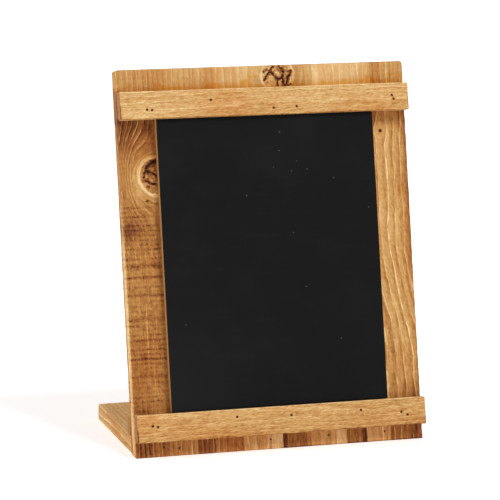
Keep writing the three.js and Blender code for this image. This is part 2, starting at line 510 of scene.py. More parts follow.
@dataclass(frozen=True)
class Setting:
    """How a sub-assembly stands: leaning with the board, or level on the table."""

    lean: float
    origin: tuple[float, float, float]

    def matrix(self) -> Matrix:
        """Gives the turn and move from this setting, in millimetres, to the stand's frame in metres."""
        return Matrix.Translation(self.origin) @ Matrix.Rotation(-self.lean, 4, "X") @ Matrix.Scale(MM, 4)

    def box(self, node: str) -> tuple[Vector, Vector]:
        """Measures a frame node along this setting's own axes.

        Args:
            node: The node's name.

        Returns:
            Its lowest and highest corners in millimetres.
        """
        inwards = self.matrix().inverted()
        places = [inwards @ vertex.co for vertex in frame["nodes"][node].data.vertices]
        return (Vector(map(min, zip(*places))), Vector(map(max, zip(*places))))

    def pattern(self, graph: Graph, grain: Grain, middle: Vector) -> Wire:
        """Gives a pattern's place on a piece, in millimetres from its middle, with the grain along Z.

        Args:
            graph: The material's graph.
            grain: Which way the grain runs.
            middle: The pattern's centre in this setting.

        Returns:
            The place as a vector.
        """
        turn = self.matrix().to_3x3().normalized() @ Matrix(grain.value).transposed()
        mapping = graph.node("Mapping", vector_type="TEXTURE")
        mapping.inputs["Location"].default_value = self.matrix() @ middle
        mapping.inputs["Rotation"].default_value = turn.to_euler()
        mapping.inputs["Scale"].default_value = (MM, MM, MM)
        place = graph.node("TexCoord")
        graph.tree.links.new(place.outputs["Object"], mapping.inputs["Vector"])
        return Wire(graph, mapping.outputs[0])


def settings() -> tuple[Setting, Setting]:
    """Reads the lean from the writing face, and where the board stands from its lowest front edge.

    Returns:
        The leaning setting, and the level one.
    """
    face = next(m for m in frame["record"]["mounts"] if m["name"] == "writing_face")
    lean = math.asin(face["axis"][2])
    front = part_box("back_board")[0].y
    return Setting(lean, (0, front, 0)), Setting(0.0, (0, front, 0))


LEANING, LEVEL = settings()


# ---- Meshes --------------------------------------------------------------------------------------


def everything(mesh: bmesh.types.BMesh) -> list:
    """Lists a mesh's vertices, edges and faces."""
    return [*mesh.verts, *mesh.edges, *mesh.faces]


def squared(low: Vector, high: Vector) -> bmesh.types.BMesh:
    """Makes a plain block between two corners.

    Args:
        low: The lowest corner.
        high: The highest corner.

    Returns:
        The block.
    """
    mesh = bmesh.new()
    bmesh.ops.create_cube(mesh, size=1.0)
    bmesh.ops.scale(mesh, vec=high - low, verts=mesh.verts)
    bmesh.ops.translate(mesh, vec=(low + high) / 2, verts=mesh.verts)
    return mesh


def round_over(mesh: bmesh.types.BMesh, edges: list[bmesh.types.BMEdge], width: float) -> None:
    """Rounds the given edges over.

    Args:
        mesh: The mesh to change.
        edges: The edges to round.
        width: How far the rounding reaches along each face.
    """
    bmesh.ops.bevel(mesh, geom=edges, offset=width, segments=ROUNDING_STEPS, profile=0.5,
                    affect="EDGES", offset_type="OFFSET", material=-1, clamp_overlap=True)


def runs_along(edge: bmesh.types.BMEdge, axis: int) -> bool:
    """Says whether an edge runs along one axis."""
    direction = (edge.verts[1].co - edge.verts[0].co).normalized()
    return abs(direction[axis]) > 0.999


def rounded_block(low: Vector, high: Vector, thin: int, corner: float, arris: float) -> bmesh.types.BMesh:
    """Makes a block with rounded corners and arrises.

    Args:
        low: The lowest corner.
        high: The highest corner.
        thin: The axis that the block's outline is square to.
        corner: How far the outline's corners are rounded.
        arris: How far the other edges are rounded.

    Returns:
        The block.
    """
    mesh = squared(low, high)
    round_over(mesh, [edge for edge in mesh.edges if runs_along(edge, thin)], corner)
    round_over(mesh, [edge for edge in mesh.edges if not runs_along(edge, thin)], arris)
    return mesh


def slice_up(mesh: bmesh.types.BMesh, axis: int, places: Iterable[float],
             within: Callable[[Vector], bool] | None = None) -> None:
    """Cuts a mesh's faces across at several places, so that it has points to shape.

    Args:
        mesh: The mesh to change.
        axis: Which axis the cuts are square to.
        places: Where the cuts are along that axis.
        within: Says of a face's middle whether that face is cut, or None to cut them all.
    """
    normal = Vector((axis == 0, axis == 1, axis == 2))
    for place in places:
        if within is None:
            chosen = everything(mesh)
        else:
            faces = [face for face in mesh.faces if within(face.calc_center_median())]
            chosen = list({part for face in faces for part in (face, *face.edges, *face.verts)})
        bmesh.ops.bisect_plane(mesh, geom=chosen, dist=1e-4, plane_co=normal * place, plane_no=normal)


def trim(mesh: bmesh.types.BMesh, place: Vector, keep: Vector) -> None:
    """Cuts a mesh with a plane, keeps one side, and closes the cut.

    Args:
        mesh: The mesh to change.
        place: A point on the plane.
        keep: The direction of the side that stays.
    """
    made = bmesh.ops.bisect_plane(mesh, geom=everything(mesh), dist=1e-5, plane_co=place,
                                  plane_no=-keep, clear_outer=True)
    rim = [part for part in made["geom_cut"] if isinstance(part, bmesh.types.BMEdge)]
    bmesh.ops.holes_fill(mesh, edges=rim, sides=0)
    bmesh.ops.recalc_face_normals(mesh, faces=mesh.faces)


def spaced(start: float, end: float, pitch: float) -> list[float]:
    """Lists evenly spaced places strictly between two ends, about a pitch apart."""
    count = max(1, round((end - start) / pitch))
    return [start + (end - start) * i / count for i in range(1, count)]


def turned(profile: Sequence[tuple[float, float]], sides: int) -> bmesh.types.BMesh:
    """Turns a closed outline round the Z axis.

    Args:
        profile: Radius and height of each point, from the axis round to the axis again.
        sides: How many flats the turned shape has.

    Returns:
        The turned solid.
    """
    mesh = bmesh.new()
    points = [mesh.verts.new((radius, 0, height)) for radius, height in profile]
    for first, second in zip(points, points[1:]):
        mesh.edges.new((first, second))
    bmesh.ops.spin(mesh, geom=[*mesh.verts, *mesh.edges], axis=(0, 0, 1), cent=(0, 0, 0),
                   angle=2 * math.pi, steps=sides, use_merge=True)
    bmesh.ops.remove_doubles(mesh, verts=mesh.verts, dist=1e-4)
    bmesh.ops.recalc_face_normals(mesh, faces=mesh.faces)
    return mesh


def finished(name: str, mesh: bmesh.types.BMesh, place: Matrix, crease: float = 38.0) -> bpy.types.Object:
    """Makes an object at the origin from a mesh, with soft shading up to an angle.

    Args:
        name: The object's name.
        mesh: The mesh, which is used up.
        place: Takes the mesh to its place in the stand's frame.
        crease: The angle in degrees past which an edge stays sharp.

    Returns:
        The object.
    """
    bmesh.ops.transform(mesh, matrix=place, verts=mesh.verts)
    data = bpy.data.meshes.new(name)
    mesh.to_mesh(data)
    mesh.free()
    data.shade_smooth()
    data.set_sharp_from_angle(angle=math.radians(crease))
    made = bpy.data.objects.new(name, data)
    bpy.context.scene.collection.objects.link(made)
    return made


def bored(name: str, solid: bmesh.types.BMesh, drills: list[bmesh.types.BMesh],
          place: Matrix, crossing: bool = False) -> bpy.types.Object:
    """Bores holes into a piece and puts it in its place.

    Args:
        name: The finished object's name.
        solid: The piece before it is bored, in its own setting.
        drills: The shapes of the holes, in the same setting.
        place: Takes the setting to the stand's frame.
        crossing: Whether the holes run into each other.

    Returns:
        The bored object.
    """
    blank = finished(name + "_blank", solid, Matrix.Identity(4))
    joined = bmesh.new()
    for drill in drills:
        step = bpy.data.meshes.new("drill")
        drill.to_mesh(step)
        drill.free()
        joined.from_mesh(step)
        bpy.data.meshes.remove(step)
    cutter = finished(name + "_drills", joined, Matrix.Identity(4))
    cut = blank.modifiers.new("holes", "BOOLEAN")
    cut.operation, cut.solver, cut.object, cut.use_self = "DIFFERENCE", "EXACT", cutter, crossing
    seen = blank.evaluated_get(bpy.context.evaluated_depsgraph_get())
    result = bmesh.new()
    result.from_mesh(seen.to_mesh())
    seen.to_mesh_clear()
    bmesh.ops.remove_doubles(result, verts=result.verts, dist=SMALLEST_GAP)
    bmesh.ops.dissolve_degenerate(result, edges=result.edges, dist=SMALLEST_GAP)
    for used in (blank, cutter):
        bpy.data.meshes.remove(used.data)
    return finished(name, result, place)


def hand_over(made: bpy.types.Object, node: str, material: bpy.types.Material, slot: str) -> None:
    """Dresses a finished piece and gives it to the frame in place of its node.

    Args:
        made: The finished piece.
        node: The frame node that it stands for.
        material: Its finish.
        slot: The record's material slot that its finish stands for, which is only logged.
    """
    if not made.data.polygons:
        raise ValueError(f"{made.name} has no faces")
    made.data.materials.append(material)
    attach(made, WHOLE_BODY)
    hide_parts(node)
    LOG.info("%s: %d points, finish %s", made.name, len(made.data.vertices), slot)


# ---- Fasteners -----------------------------------------------------------------------------------


@dataclass(frozen=True)
class Steel:
    """A fastener's metal finish."""

    name: str
    bright: Colour
    dull: Colour
    rough: tuple[float, float]
    tarnish: float

    def material(self) -> bpy.types.Material:
        """Builds the finish, with tarnish in patches and fine drawing marks.

        Returns:
            The material.
        """
        material, g, shader = new_material(self.name)
        place = LEVEL.pattern(g, Grain.UPRIGHT, Vector((0, 0, 0)))
        patch = g.step(g.noise(place, 1.6, detail=4.0), 0.62 - self.tarnish * 0.4, 0.7)
        marks = g.noise(place, 0.16, detail=3.0, offset=3.0)
        colour = g.blend(patch, self.bright, self.dull)
        g.feed(shader.inputs["Base Color"], g.blend(marks * 0.35, colour, self.dull))
        g.feed(shader.inputs["Roughness"], g.between(patch, *self.rough) + (marks - 0.5) * 0.2)
        g.feed(shader.inputs["Metallic"], 1.0 - patch * 0.35)
        bumped(g, shader, marks, depth=0.01, strength=0.4)
        return material


BROWNED = Steel(name="Browned brad steel", bright=srgb(112, 98, 84), dull=srgb(48, 34, 24),
                rough=(0.42, 0.75), tarnish=0.5)
PASSIVATED = Steel(name="Yellow zinc on a screw", bright=srgb(232, 208, 142), dull=srgb(150, 118, 62),
                   rough=(0.26, 0.5), tarnish=0.15)


@dataclass
class Fastener:
    """A brad or a screw, which takes its place and its size from its frame node."""

    node: str
    setting: Setting
    towards: tuple[int, int, int]
    low: Vector = field(init=False)
    high: Vector = field(init=False)

    def __post_init__(self) -> None:
        """Measures the frame node."""
        self.low, self.high = self.setting.box(self.node)

    def axis(self) -> int:
        """Gives the index of the axis that the fastener runs along."""
        return next(i for i, part in enumerate(self.towards) if part)

    def length(self) -> float:
        """Gives the whole length."""
        return self.high[self.axis()] - self.low[self.axis()]

    def radius(self) -> float:
        """Gives the head's radius."""
        other = (self.axis() + 1) % 3
        return (self.high[other] - self.low[other]) / 2

    def placing(self) -> Matrix:
        """Takes a shape made along +Z, head at the origin, to its place in the setting.

        Returns:
            The turn and move.
        """
        head = (self.low + self.high) / 2
        head[self.axis()] = self.low[self.axis()] if sum(self.towards) > 0 else self.high[self.axis()]
        turn = Vector((0, 0, 1)).rotation_difference(Vector(self.towards)).to_matrix().to_4x4()
        return Matrix.Translation(head) @ turn

    def drill(self, clear: float = 0.3, outside: float = 3.0, sides: int = 20) -> bmesh.types.BMesh:
        """Makes the hole that the fastener needs, in its setting.

        Args:
            clear: The room round it.
            outside: How far the hole runs on past the head.
            sides: How many flats the hole has.

        Returns:
            The hole's shape.
        """
        hole = turned(self.hole(clear, outside), sides)
        bmesh.ops.transform(hole, matrix=self.placing(), verts=hole.verts)
        return hole

    def hole(self, clear: float, outside: float) -> list[tuple[float, float]]:
        """Outlines the hole, from the axis round to the axis."""
        reach = self.radius() + clear
        return [(0, -outside), (reach, -outside), (reach, self.length() + clear), (0, self.length() + clear)]


@dataclass
class Brad(Fastener):
    """A round brad with a small punched head, a grooved neck and a turned point."""

    slot: str = "brad_steel"
    sides: int = 16
    shank_share: float = 0.8
    head_height: float = 1.0
    chamfer: float = 0.1
    dish: float = 0.12
    grooves: int = 4
    groove_start: float = 1.3
    groove_pitch: float = 0.6
    groove_depth: float = 0.04
    point: float = 2.5

    def build(self, material: bpy.types.Material) -> None:
        """Turns the brad and hands it over.

        Args:
            material: The brad's finish.
        """
        head, long = self.radius(), self.length()
        shank = head * self.shank_share
        outline = [(0, self.dish), (head * 0.35, self.dish), (head * 0.5, 0), (head - self.chamfer, 0),
                   (head, self.chamfer), (head, self.head_height * 0.75), (shank, self.head_height)]
        outline += [(shank - self.groove_depth * (i % 2), self.groove_start + self.groove_pitch / 2 * i)
                    for i in range(2 * self.grooves)]
        outline += [(shank, long - self.point), (shank * 0.45, long - self.point * 0.4), (0, long)]
        made = finished(self.node + "_made", turned(outline, self.sides),
                        self.setting.matrix() @ self.placing(), crease=30.0)
        hand_over(made, self.node, material, self.slot)


@dataclass
class Screw(Fastener):
    """A countersunk wood screw with a cross recess and a cut thread."""

    slot: str = "screw_steel"
    sides: int = 28
    pitch: float = 1.4
    shank: float = 1.6
    core_share: float = 0.68
    head_height: float = 2.0
    chamfer: float = 0.12
    rim: float = 0.3
    plain: float = 4.0
    point: float = 5.0
    recess_reach: float = 1.9
    recess_width: float = 0.6
    recess_depth: float = 1.1
    recess_taper: float = 0.6

    def hole(self, clear: float, outside: float) -> list[tuple[float, float]]:
        """Outlines the countersink and the clearance hole.

        Args:
            clear: The room round the screw.
            outside: How far the hole runs on past the head.

        Returns:
            Radius and height of each point, from the axis round to the axis.
        """
        wide, long = self.radius() + clear, self.length() + 2 * clear
        narrow = self.shank + clear
        return [(0, -outside), (wide, -outside), (wide, 0), (narrow, self.head_height), (narrow, long),
                (0, long)]

    def build(self, material: bpy.types.Material) -> None:
        """Turns the screw, winds its thread, cuts its recess and hands it over.

        Args:
            material: The screw's finish.
        """
        head, long = self.radius(), self.length()
        core, start = self.shank * self.core_share, self.head_height + self.plain
        outline = [(0, 0), (head - self.chamfer, 0), (head, self.chamfer), (head, self.rim),
                   (self.shank, self.head_height), (self.shank, start - 0.6), (core, start)]
        outline += [(core, height) for height in spaced(start, long - 0.2, self.pitch / 6)]
        mesh = turned([*outline, (0, long)], self.sides)
        for vertex in mesh.verts:
            if start < vertex.co.z < long - 0.1:
                self.wind(vertex, vertex.co.z, long)
        place = self.setting.matrix() @ self.placing()
        made = bored(self.node + "_made", mesh, self.recess(), place, crossing=True)
        hand_over(made, self.node, material, self.slot)

    def recess(self) -> list[bmesh.types.BMesh]:
        """Makes the two bars of the cross recess, narrower at the bottom.

        Returns:
            The bars.
        """
        reach, half = self.recess_reach, self.recess_width / 2
        bars = []
        for wide, deep in ((reach, half), (half, reach)):
            bar = squared(Vector((-wide, -deep, -1)), Vector((wide, deep, self.recess_depth)))
            bottom = [vertex for vertex in bar.verts if vertex.co.z > 0]
            bmesh.ops.scale(bar, vec=(self.recess_taper, self.recess_taper, 1), verts=bottom)
            bars.append(bar)
        return bars

    def wind(self, vertex: bmesh.types.BMVert, height: float, long: float) -> None:
        """Moves one point of the shank out to the thread's ridge or in to its root.

        Args:
            vertex: The point.
            height: Its height from the head.
            long: The screw's length.
        """
        turn = math.atan2(vertex.co.y, vertex.co.x) / (2 * math.pi)
        wave = abs(((height / self.pitch - turn) % 1.0) - 0.5) * 2
        ridge = max(0.0, 1 - wave * 2.2)
        taper = max(0.12, min(1.0, (long - height) / self.point))
        radius = self.shank * (self.core_share + (1 - self.core_share) * ridge) * taper
        vertex.co.x, vertex.co.y = Vector((vertex.co.x, vertex.co.y)).normalized() * radius


# ---- Timber --------------------------------------------------------------------------------------

# The stained wood's colour at each tone, from burnt to bleached.
STAIN = (
    (0.0, srgb(34, 15, 8)),
    (0.16, srgb(82, 38, 18)),
    (0.32, srgb(132, 76, 36)),
    (0.5, srgb(174, 119, 60)),
    (0.66, srgb(202, 154, 92)),
    (0.82, srgb(221, 182, 124)),
    (1.0, srgb(242, 214, 166)),
)
STAIN_WIDTH = 3.0  # how many times wider than a crack its dark edges are
CRACK_DEPTH = 0.6


@dataclass(frozen=True)
class ToneWeights:
    """How strongly each part of the wood's figure lightens or darkens the tone.

    Attributes:
        line: The pale line at each growth ring.
        band: The dark band beside it.
        ring: The difference from ring to ring.
        streak: The long streaks along the grain.
        fibre: The fine fibres.
        fleck: The short torn flecks.
        saw: The saw's dark dashes.
        end: The dark ends across the grain.
        rim: The pale bark round a knot.
        mottle: The mottling in a knot.
        knot_rings: The rings in a knot.
        hole: The stain that has pooled round a brad's hole.
    """

    line: float = 0.24
    band: float = 0.13
    ring: float = 0.08
    streak: float = 0.24
    fibre: float = 0.4
    fleck: float = 0.46
    saw: float = 0.22
    end: float = 0.16
    rim: float = 0.25
    mottle: float = 1.5
    knot_rings: float = 0.1
    hole: float = 0.26


@dataclass(frozen=True)
class Wear:
    """How far apart the uneven places of sawn wood are, in millimetres, and how deep against its relief."""

    broad: float = 31.0
    fine: float = 6.5
    knocks: float = 8.0
    chips: float = 3.1
    knock_depth: float = 3.0
    chip_depth: float = 4.4


@dataclass(frozen=True)
class WoodFinish:
    """How one kind of pine in the stand is cut and finished.

    Attributes:
        name: The finish's name.
        slot: The record's material slot.
        corner: How far the outline's corners are rounded.
        arris: How far the other edges are rounded.
        tone: The usual tone, from 0 for burnt to 1 for bleached.
        ring_width: How far apart the growth rings are.
        wander: How far the rings wander sideways.
        contrast: How strongly the rings show.
        fine: How strongly the fibres show.
        saw: How strongly the saw's marks show.
        roughness: The surface's usual roughness.
        relief: How deep its unevenness is.
        arris_highlight_and_shade: How strongly the arrises are painted paler on the lit side and darker on
            the shaded side, as a painted highlight and painted shade.
        saw_pitch: How far apart the saw's marks are.
        weights: How strongly each part of the figure shows.
        wear: How the surface and the edges are worn.
    """

    name: str
    slot: str
    corner: float
    arris: float
    tone: float
    ring_width: float
    wander: float
    contrast: float
    fine: float
    saw: float
    roughness: float
    relief: float
    arris_highlight_and_shade: float
    saw_pitch: float = 4.5
    weights: ToneWeights = ToneWeights()
    wear: Wear = Wear()


SAWN = WoodFinish(name="Sawn stained pine", slot="sawn_pine", corner=3.0, arris=1.6, tone=0.62,
                  ring_width=4.2, wander=8.0, contrast=1.0, fine=1.0, saw=1.0, roughness=0.7,
                  relief=0.34, arris_highlight_and_shade=0.12)
PLANED = WoodFinish(name="Planed stained pine", slot="planed_pine", corner=1.2, arris=0.9, tone=0.72,
                    ring_width=2.9, wander=9.0, contrast=0.7, fine=1.45, saw=0.1, roughness=0.58,
                    relief=0.12, arris_highlight_and_shade=0.34)


@dataclass(frozen=True)
class Crack:
    """A crack in a knot: half of its width, and the places that it runs through."""

    width: float
    places: tuple[tuple[float, float], ...]

    def nearness(self, place: Vector) -> float:
        """Measures how near to the crack a place is.

        Args:
            place: The place across and along the grain.

        Returns:
            From 0 at STAIN_WIDTH widths away to 1 along the crack's middle.
        """
        nearest = STAIN_WIDTH * self.width
        for first, second in zip(self.places, self.places[1:]):
            start, reach = Vector(first), Vector(second) - Vector(first)
            share = min(1.0, max(0.0, (place - start).dot(reach) / reach.length_squared))
            nearest = min(nearest, (place - start - reach * share).length)
        return 1 - nearest / (STAIN_WIDTH * self.width)


@dataclass(frozen=True)
class Knot:
    """A knot through the board.

    Attributes:
        across: Its middle across the board, in millimetres from the board's middle.
        along: Its middle up the board, in millimetres from the board's bottom.
        radius: Its radius.
        flow: How many radii round it the grain bends.
        tone: Its own tone.
        cracks: Its cracks.
    """

    across: float
    along: float
    radius: float
    flow: float
    tone: float
    cracks: tuple[Crack, ...] = ()

    def crack(self, across: float, along: float) -> float:
        """Measures how near to the knot's nearest crack a place is.

        Args:
            across: The place across the grain.
            along: The place along the grain.

        Returns:
            From 0 outside to 1 along a crack's middle.
        """
        if math.hypot(across - self.across, along - self.along) > 2 * self.radius:
            return 0.0
        return max((crack.nearness(Vector((across, along))) for crack in self.cracks), default=0.0)


@dataclass(frozen=True)
class Knotted:
    """The grain's place once some knots have pushed it aside, and those knots' masks together."""

    flow: Wire
    heart: Value = 0.0
    rim: Value = 0.0
    rings: Value = 0.5
    inner: Value = 0.5


@dataclass
class Timber:
    """One squared piece of pine, which takes its place and its size from its frame node.

    Attributes:
        node: The frame node.
        setting: Whether it leans or stands level.
        grain: Which way its grain runs.
        finish: How it is cut and finished.
        heart: Where the tree's heart was, across and through, in millimetres from the piece's middle.
        skew: How much closer the rings are on one side than on the other.
        seed: Where in the endless patterns the piece is cut from.
        paler: How much paler than usual it is.
        knots: Its knots.
        pitch: How far apart the points of its surface are.
        low: Its lowest corner.
        high: Its highest corner.
    """

    node: str
    setting: Setting
    grain: Grain
    finish: WoodFinish
    heart: tuple[float, float]
    skew: float = 0.0
    seed: float = 0.0
    paler: float = 0.0
    knots: tuple[Knot, ...] = ()
    pitch: float = 3.0
    low: Vector = field(init=False)
    high: Vector = field(init=False)

    def __post_init__(self) -> None:
        """Measures the frame node."""
        self.low, self.high = self.setting.box(self.node)

    def blank_corners(self) -> tuple[Vector, Vector]:
        """Gives the corners of the piece before its slanting cut."""
        return self.low.copy(), self.high.copy()

    def outline_axis(self) -> int:
        """Gives the axis that the piece's outline is square to, which is its thickness."""
        size = self.high - self.low
        return min(range(3), key=lambda axis: size[axis])

    def slanting_cuts(self, mesh: bmesh.types.BMesh) -> None:
        """Makes the piece's slanting cuts, where it has any."""

    def build(self, fasteners: Sequence[Fastener], seen: Sequence[Fastener] = ()) -> None:
        """Saws, wears, bores and dresses the piece, and hands it over.

        Args:
            fasteners: What goes through the piece.
            seen: Which of them are driven in through its open front.
        """
        low, high = self.blank_corners()
        mesh = rounded_block(low, high, self.outline_axis(), self.finish.corner, self.finish.arris)
        for axis in range(3):
            slice_up(mesh, axis, spaced(low[axis], high[axis], self.pitch))
        for knot in self.knots:
            if knot.cracks:
                self.refine(mesh, knot)
        self.wear(mesh, low, high)
        self.slanting_cuts(mesh)
        drills = [self.bring(fastener) for fastener in fasteners]
        made = bored(self.node + "_made", mesh, drills, self.setting.matrix())
        self.mark_cracks(made)
        hand_over(made, self.node, self.material(seen), self.finish.slot)

    def from_setting(self, other: Setting) -> Matrix:
        """Gives the turn and move from another setting to this piece's own."""
        return self.setting.matrix().inverted() @ other.matrix()

    def bring(self, fastener: Fastener) -> bmesh.types.BMesh:
        """Makes a fastener's hole in this piece's setting.

        Args:
            fastener: The brad or the screw.

        Returns:
            The hole's shape.
        """
        hole = fastener.drill()
        bmesh.ops.transform(hole, matrix=self.from_setting(fastener.setting), verts=hole.verts)
        return hole

    def refine(self, mesh: bmesh.types.BMesh, knot: Knot, pitch: float = 0.7) -> None:
        """Cuts the front faces round one knot finer, so that they can hold its cracks.

        Args:
            mesh: The mesh to change.
            knot: The knot.
            pitch: How far apart the cuts are.
        """
        reach = knot.radius * 1.25
        front = self.low.y + 1.0

        def close(middle: Vector) -> bool:
            """Says whether a face's middle is on the front and close to the knot."""
            return (middle.y < front and abs(middle.x - knot.across) < reach
                    and abs(middle.z - knot.along) < reach)

        for axis, centre in ((0, knot.across), (2, knot.along)):
            slice_up(mesh, axis, spaced(centre - reach, centre + reach, pitch), close)

    def wear(self, mesh: bmesh.types.BMesh, low: Vector, high: Vector) -> None:
        """Gives the faces a sawn unevenness and the arrises their knocks, always inwards.

        What faces straight down stays flat, so that the piece rests as its frame node does.

        Args:
            mesh: The mesh to change.
            low: The blank's lowest corner.
            high: The blank's highest corner.
        """
        mesh.normal_update()
        upwards = self.setting.matrix().to_3x3().row[2]
        moves = []
        for vertex in mesh.verts:
            down = upwards.dot(vertex.normal) < -0.9 * MM
            moves.append(vertex.normal * -(0.0 if down else self.worn_depth(vertex.co, low, high)))
        for vertex, move in zip(mesh.verts, moves):
            vertex.co += move

    def worn_depth(self, place: Vector, low: Vector, high: Vector) -> float:
        """Says how far one point of the surface is worn inwards.

        Args:
            place: The point.
            low: The blank's lowest corner.
            high: The blank's highest corner.

        Returns:
            The depth in millimetres.
        """
        wear, relief = self.finish.wear, self.finish.relief
        seed = Vector((self.seed, 0, 0))
        broad = 0.5 + 0.5 * noise.noise(place / wear.broad + seed)
        fine = 0.5 + 0.5 * noise.noise(place / wear.fine + seed)
        inside = sorted(min(place[i] - low[i], high[i] - place[i]) for i in range(3))
        edge = max(0.0, 1 - inside[1] / (1.5 * self.finish.arris))
        knock = max(0.0, noise.noise(place / wear.knocks + 2 * seed) + 0.12) * wear.knock_depth
        chip = max(0.0, noise.noise(place / wear.chips - seed) - 0.28) * wear.chip_depth
        depth = relief * (0.6 * broad + 0.4 * fine) + edge * relief * (knock + chip)
        if place.y < low.y + 0.4 and self.knots:
            near = max(knot.crack(place.x, place.z) for knot in self.knots)
            depth += CRACK_DEPTH * max(0.0, 2 * near - 1)
        return depth

    def mark_cracks(self, made: bpy.types.Object) -> None:
        """Stores on each point of the front how near a crack is, for the finish to read.

        Args:
            made: The piece.
        """
        if not any(knot.cracks for knot in self.knots):
            return
        inwards = self.setting.matrix().inverted()
        nearness = []
        for vertex in made.data.vertices:
            place = inwards @ vertex.co
            front = place.y < self.low.y + CRACK_DEPTH + 1.0
            nearness.append(max(k.crack(place.x, place.z) for k in self.knots) if front else 0.0)
        made.data.attributes.new(CRACK, "FLOAT", "POINT").data.foreach_set("value", nearness)

    def middle(self) -> Vector:
        """Gives the piece's middle."""
        return (self.low + self.high) / 2

    def half_size(self) -> tuple[float, float, float]:
        """Gives half of the piece's size across, through and along the grain."""
        half = (self.high - self.low) / 2
        return tuple(abs(Vector(axis).dot(half)) for axis in self.grain.value)

    def material(self, seen: Sequence[Fastener]) -> bpy.types.Material:
        """Builds the piece's wood, with its own figure, knots, saw marks, dark ends, and a painted highlight
        and painted shade on its arrises.

        Args:
            seen: The fasteners that are driven in through the front.

        Returns:
            The material.
        """
        look = self.finish
        material, g, shader = new_material(f"{look.name} {self.node}")
        place = self.setting.pattern(g, self.grain, self.middle())
        knots = self.put_knots(g, place)
        shifted = g.vector_math("ADD", self.warped(g, knots.flow), (0, 0, self.seed * 100))
        figure = g.use(FIGURE, vector=shifted, heart=(*self.heart, 0), width=look.ring_width,
                       wander=look.wander, skew=self.skew)
        saw = g.use(SAW, vector=place, pitch=look.saw_pitch)
        edges = g.use(EDGES, vector=place, half=self.half_size(), width=look.arris * 0.6 + 0.7)
        sawn = self.saw_strength(g, place)
        tone = self.figured(g, place, figure, knots) - saw["Dash"] * sawn * look.weights.saw
        # Painted highlight on the arrises of the left or upper side, and painted shade on those of the other
        # side.
        lit = g.step(g.split(place)[0], 3.0, -3.0) * 2.0 - 1.0
        tone = tone - edges["End"] * look.weights.end + edges["Arris"] * lit * look.arris_highlight_and_shade
        if self.knots:
            tone = self.cracked(g, place, self.knotty(g, place, knots, tone))
        if seen:
            tone = tone - self.pooled(g, place, seen) * look.weights.hole
        g.feed(shader.inputs["Base Color"], self.tinted(g, g.ramp(tone, STAIN), place, edges))
        waxed = g.noise(place, 14.0, detail=3.0, offset=7.0)
        g.feed(shader.inputs["Roughness"], look.roughness + (waxed - 0.5) * 0.3 + edges["End"] * 0.12)
        shader.inputs["Specular IOR Level"].default_value = 0.16
        height = (figure["Fibre"] * 0.5 + figure["Line"] * 0.5 - figure["Band"] * 0.2
                  + saw["Ridge"] * sawn * 0.5 - saw["Dash"] * sawn * 0.5)
        bumped(g, shader, height, depth=0.16 + 0.2 * look.saw, strength=0.7)
        return material

    def put_knots(self, g: Graph, place: Wire) -> Knotted:
        """Puts the knots into the grain, one after the other.

        Args:
            g: The material's graph.
            place: The pattern's place.

        Returns:
            The grain's place and the knots' masks.
        """
        middle = self.middle()
        all_in = Knotted(place)
        for knot in self.knots:
            centre = (knot.across - middle.x, 0.0, knot.along - middle.z)
            one = g.use(KNOT, vector=all_in.flow, centre=centre, radius=knot.radius, flow=knot.flow)
            all_in = Knotted(flow=one["Vector"],
                             heart=g.largest(all_in.heart, one["Heart"]),
                             rim=g.largest(all_in.rim, one["Rim"]),
                             rings=g.between(one["Heart"], all_in.rings, one["Rings"]),
                             inner=g.between(one["Heart"], all_in.inner, knot.tone))
        return all_in

    def figured(self, g: Graph, place: Wire, figure: dict[str, Wire], knots: Knotted) -> Wire:
        """Adds up the tone of the clear wood between the knots.

        Args:
            g: The material's graph.
            place: The pattern's place.
            figure: The grain figure.
            knots: The knots' masks.

        Returns:
            The tone.
        """
        weights = self.finish.weights
        rings, fibres = self.grain_strength(g, place)
        grain = (figure["Line"] * weights.line - figure["Band"] * weights.band
                 + (figure["Tone"] - 0.5) * weights.ring)
        if self.knots:
            grain = grain * (1.0 - knots.heart)
        grain = (grain + (figure["Streak"] - 0.5) * weights.streak) * rings
        fine = (figure["Fibre"] - 0.5) * weights.fibre + (figure["Fleck"] - 0.5) * weights.fleck
        return grain + (self.finish.tone + self.paler) + self.extra_tone(g, place) + fine * fibres

    def knotty(self, g: Graph, place: Wire, knots: Knotted, tone: Wire) -> Wire:
        """Gives the knots their own tone.

        Args:
            g: The material's graph.
            place: The pattern's place.
            knots: The knots' masks.
            tone: The tone of the wood round them.

        Returns:
            The tone with the knots in it.
        """
        weights = self.finish.weights
        mottle = g.noise(place, 3.2, detail=4.0, offset=1.3, roughness=0.75)
        inner = knots.inner + (mottle - 0.5) * weights.mottle + (knots.rings - 0.5) * weights.knot_rings
        return g.between(knots.heart, tone + knots.rim * weights.rim, inner)

    def cracked(self, g: Graph, place: Wire, tone: Wire) -> Wire:
        """Darkens the tone in and beside the cracks.

        Args:
            g: The material's graph.
            place: The pattern's place.
            tone: The tone so far.

        Returns:
            The darker tone.
        """
        near = Wire(g, g.node("Attribute", attribute_name=CRACK).outputs["Fac"])
        ragged = near + (g.noise(place, 2.0, detail=4.0, offset=4.4, roughness=0.7) - 0.5) * 1.7
        stained = g.step(near, 0.1, 0.4) * g.step(ragged, 0.1, 0.9) * 0.32
        open_wood = g.step(ragged, 0.6, 1.0) * g.step(near, 0.45, 0.75)
        return (tone - stained) * (1.0 - open_wood * 0.88)

